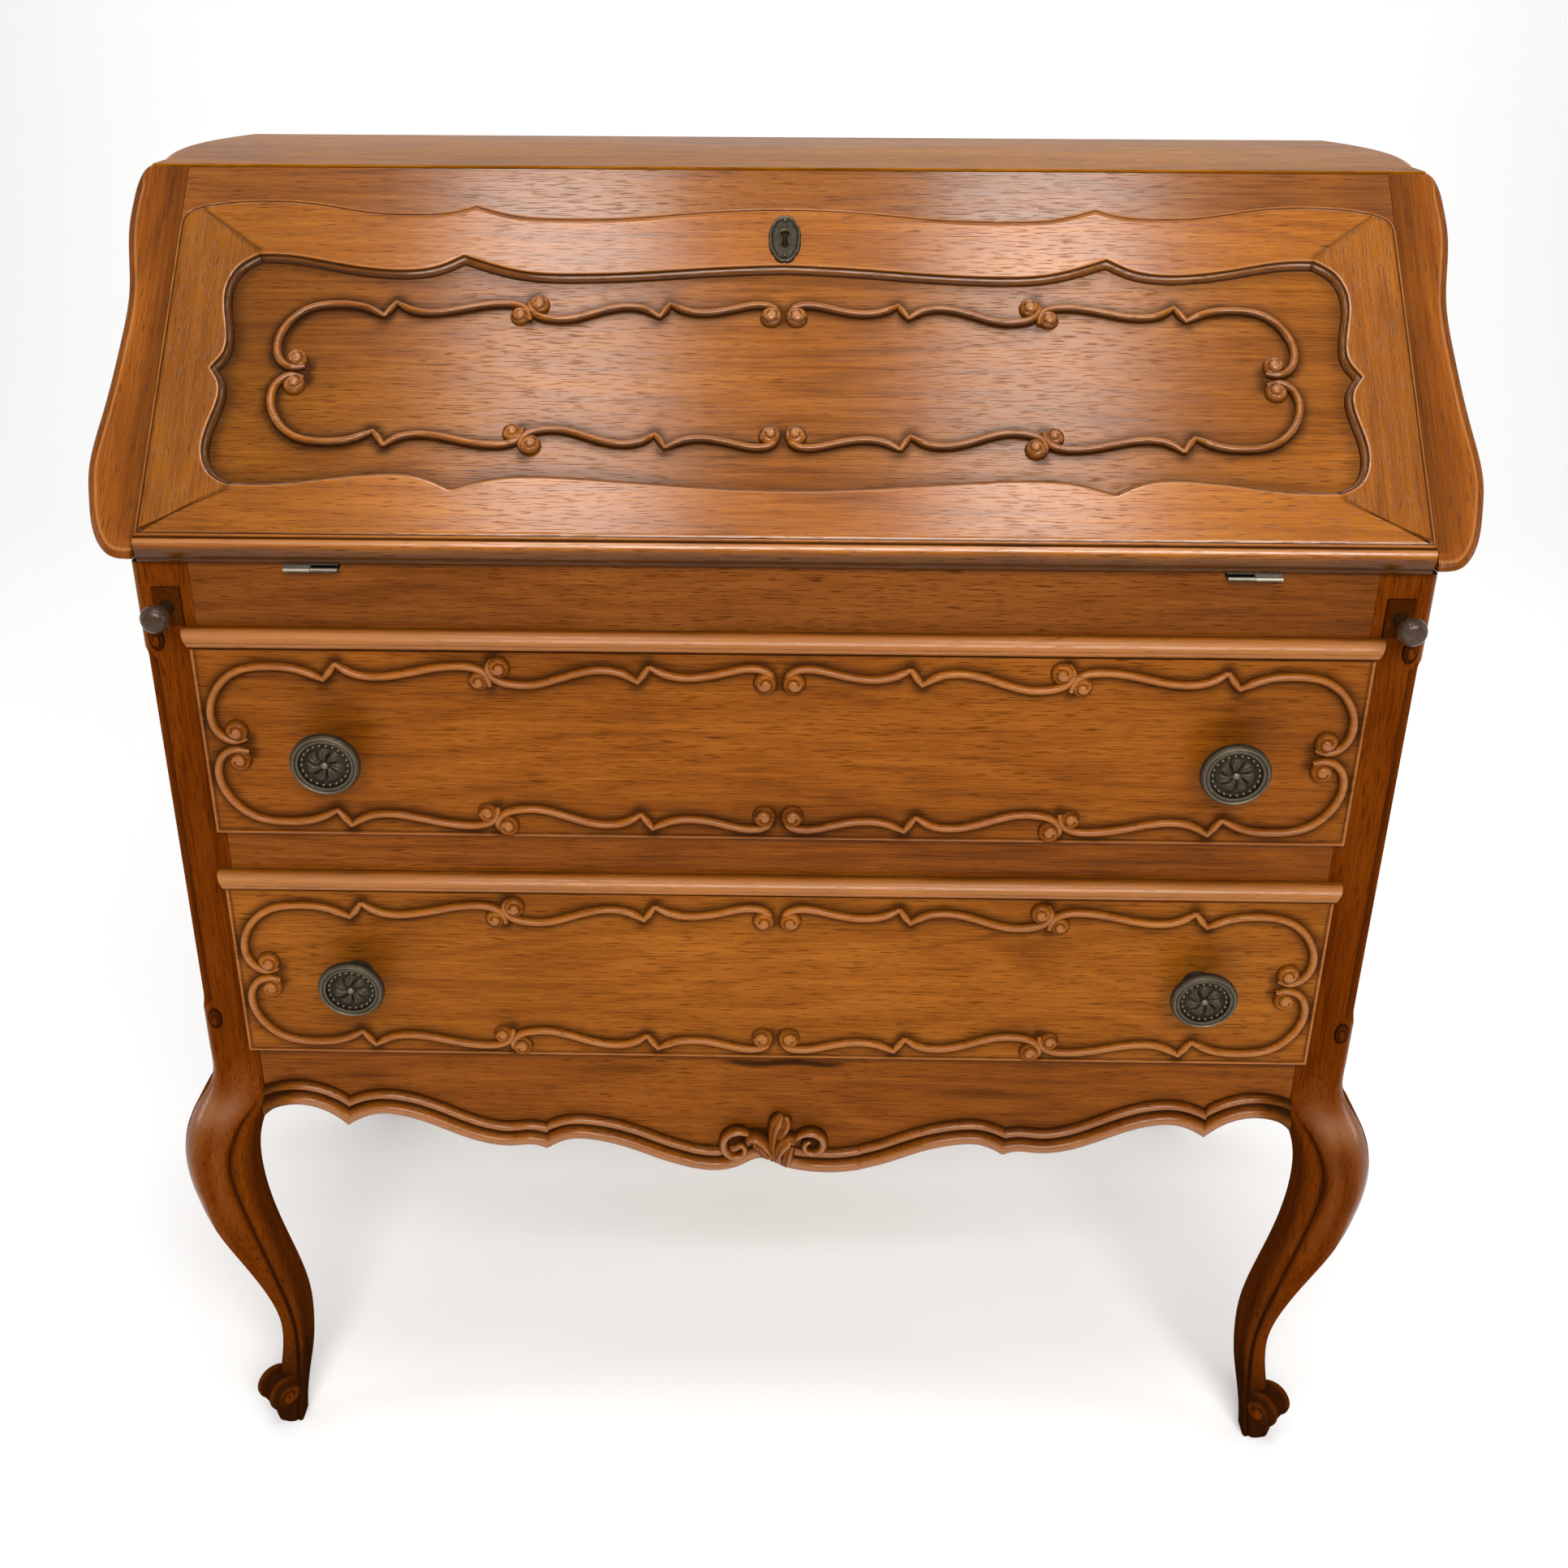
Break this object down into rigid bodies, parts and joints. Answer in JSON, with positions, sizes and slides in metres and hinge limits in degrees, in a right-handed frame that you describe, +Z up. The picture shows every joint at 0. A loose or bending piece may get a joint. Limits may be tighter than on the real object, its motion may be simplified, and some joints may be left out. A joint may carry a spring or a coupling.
{
  "type": "fall-front secretary desk",
  "caption": "Slope-front secretary desk on cabriole legs: a carved hinged fall drops onto pull-out lopers, above carved long drawers and a moulded apron.",
  "frame": {"origin": "on the floor, in the middle of the overall width and depth", "axes": "+X to the right as seen from the front, -Y to the front where a person sits, +Z up"},
  "size_m": [1.0172, 0.5182, 1.042],
  "materials": {
    "walnut": "waxed walnut, satin",
    "dark_walnut": "darker waxed walnut, satin",
    "oak": "plain unpolished oak",
    "bronze": "dark patinated bronze",
    "brass": "aged brass",
    "steel": "dull steel"
  },
  "bodies": {
    "carcass": {"front_leg_left": "dark_walnut", "front_leg_right": "dark_walnut", "back_leg_left": "dark_walnut", "back_leg_right": "dark_walnut", "lower_side_left": "walnut", "lower_side_right": "walnut", "upper_side_left": "walnut", "upper_side_right": "walnut", "slope_stile_left": "walnut", "slope_stile_right": "walnut", "top_rail": "walnut", "top_board": "walnut", "hinge_rail": "walnut", "middle_rail": "walnut", "apron": "walnut", "back_panel": "oak", "writing_floor": "walnut", "dust_board": "oak", "bottom_board": "oak", "loper_guide_left": "oak", "loper_guide_right": "oak", "interior_shelf": "walnut", "drawer_divider_left": "walnut", "drawer_divider_right": "walnut", "pigeonhole_divider_left": "walnut", "pigeonhole_divider_right": "walnut", "striking_plate": "brass", "hinge_rail_leaf_left": "brass", "hinge_rail_leaf_right": "brass"},
    "fall": {"fall_top_rail": "walnut", "fall_bottom_rail": "walnut", "fall_stile_left": "walnut", "fall_stile_right": "walnut", "fall_panel": "walnut", "escutcheon": "bronze", "lock_case": "steel", "hinge_fall_leaf_left": "brass", "hinge_fall_leaf_right": "brass"},
    "lock_bolt": {"lock_bolt": "steel"},
    "loper_left": {"loper_left": "dark_walnut", "loper_knob_left": "dark_walnut"},
    "loper_right": {"loper_right": "dark_walnut", "loper_knob_right": "dark_walnut"},
    "upper_drawer": {"upper_drawer_front": "walnut", "upper_drawer_side_left": "oak", "upper_drawer_side_right": "oak", "upper_drawer_back": "oak", "upper_drawer_bottom": "oak", "upper_drawer_knob_left": "bronze", "upper_drawer_knob_right": "bronze"},
    "lower_drawer": {"lower_drawer_front": "walnut", "lower_drawer_side_left": "oak", "lower_drawer_side_right": "oak", "lower_drawer_back": "oak", "lower_drawer_bottom": "oak", "lower_drawer_knob_left": "bronze", "lower_drawer_knob_right": "bronze"},
    "small_drawer_left": {"small_drawer_left": "walnut"},
    "small_drawer_centre": {"small_drawer_centre": "walnut"},
    "small_drawer_right": {"small_drawer_right": "walnut"}
  },
  "joints": [
    {"name": "fall_hinge", "type": "hinge", "parent": "carcass", "child": "fall", "pos_m": [0, -0.22445, 0.79653], "axis": [1, 0, 0], "range_deg": [0, 135]},
    {"name": "lock_bolt_slide", "type": "slide", "parent": "fall", "child": "lock_bolt", "axis": [0, 0.7071, 0.7071], "range_m": [0, 0.008]},
    {"name": "loper_left_slide", "type": "slide", "parent": "carcass", "child": "loper_left", "axis": [0, -1, 0], "range_m": [0, 0.24]},
    {"name": "loper_right_slide", "type": "slide", "parent": "carcass", "child": "loper_right", "axis": [0, -1, 0], "range_m": [0, 0.24]},
    {"name": "upper_drawer_slide", "type": "slide", "parent": "carcass", "child": "upper_drawer", "axis": [0, -1, 0], "range_m": [0, 0.3]},
    {"name": "lower_drawer_slide", "type": "slide", "parent": "carcass", "child": "lower_drawer", "axis": [0, -1, 0], "range_m": [0, 0.3]},
    {"name": "small_drawer_left_slide", "type": "slide", "parent": "carcass", "child": "small_drawer_left", "axis": [0, -1, 0], "range_m": [0, 0.12]},
    {"name": "small_drawer_centre_slide", "type": "slide", "parent": "carcass", "child": "small_drawer_centre", "axis": [0, -1, 0], "range_m": [0, 0.12]},
    {"name": "small_drawer_right_slide", "type": "slide", "parent": "carcass", "child": "small_drawer_right", "axis": [0, -1, 0], "range_m": [0, 0.12]}
  ]
}
